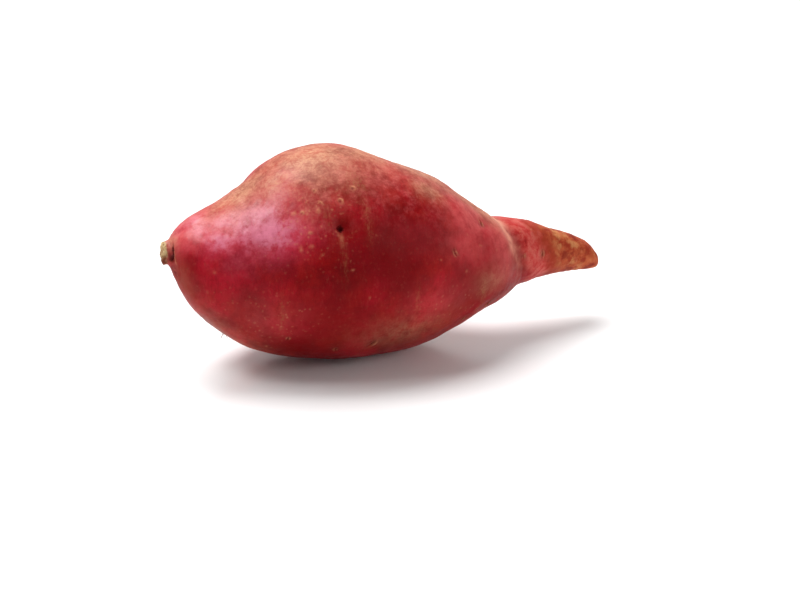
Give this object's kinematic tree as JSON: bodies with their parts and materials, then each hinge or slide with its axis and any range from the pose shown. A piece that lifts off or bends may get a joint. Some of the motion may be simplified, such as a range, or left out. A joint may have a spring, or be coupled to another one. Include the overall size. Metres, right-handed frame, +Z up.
{
  "type": "sweet potato",
  "caption": "Whole raw red-skinned sweet potato: a plump tapering storage root with a corky vine scar at one end and a slim bent tail at the other.",
  "frame": {"origin": "middle of the root's box, on the surface that it lies on", "axes": "+X along the root from the vine scar to the tail, +Y towards its back, +Z up"},
  "size_m": [0.192, 0.0872, 0.0859],
  "materials": {
    "skin": "satin magenta-red skin, pink bloom on the vine end, tan russet over the top, orange-brown tail"
  },
  "bodies": {
    "root": {"sweet_potato": "skin"}
  },
  "joints": []
}
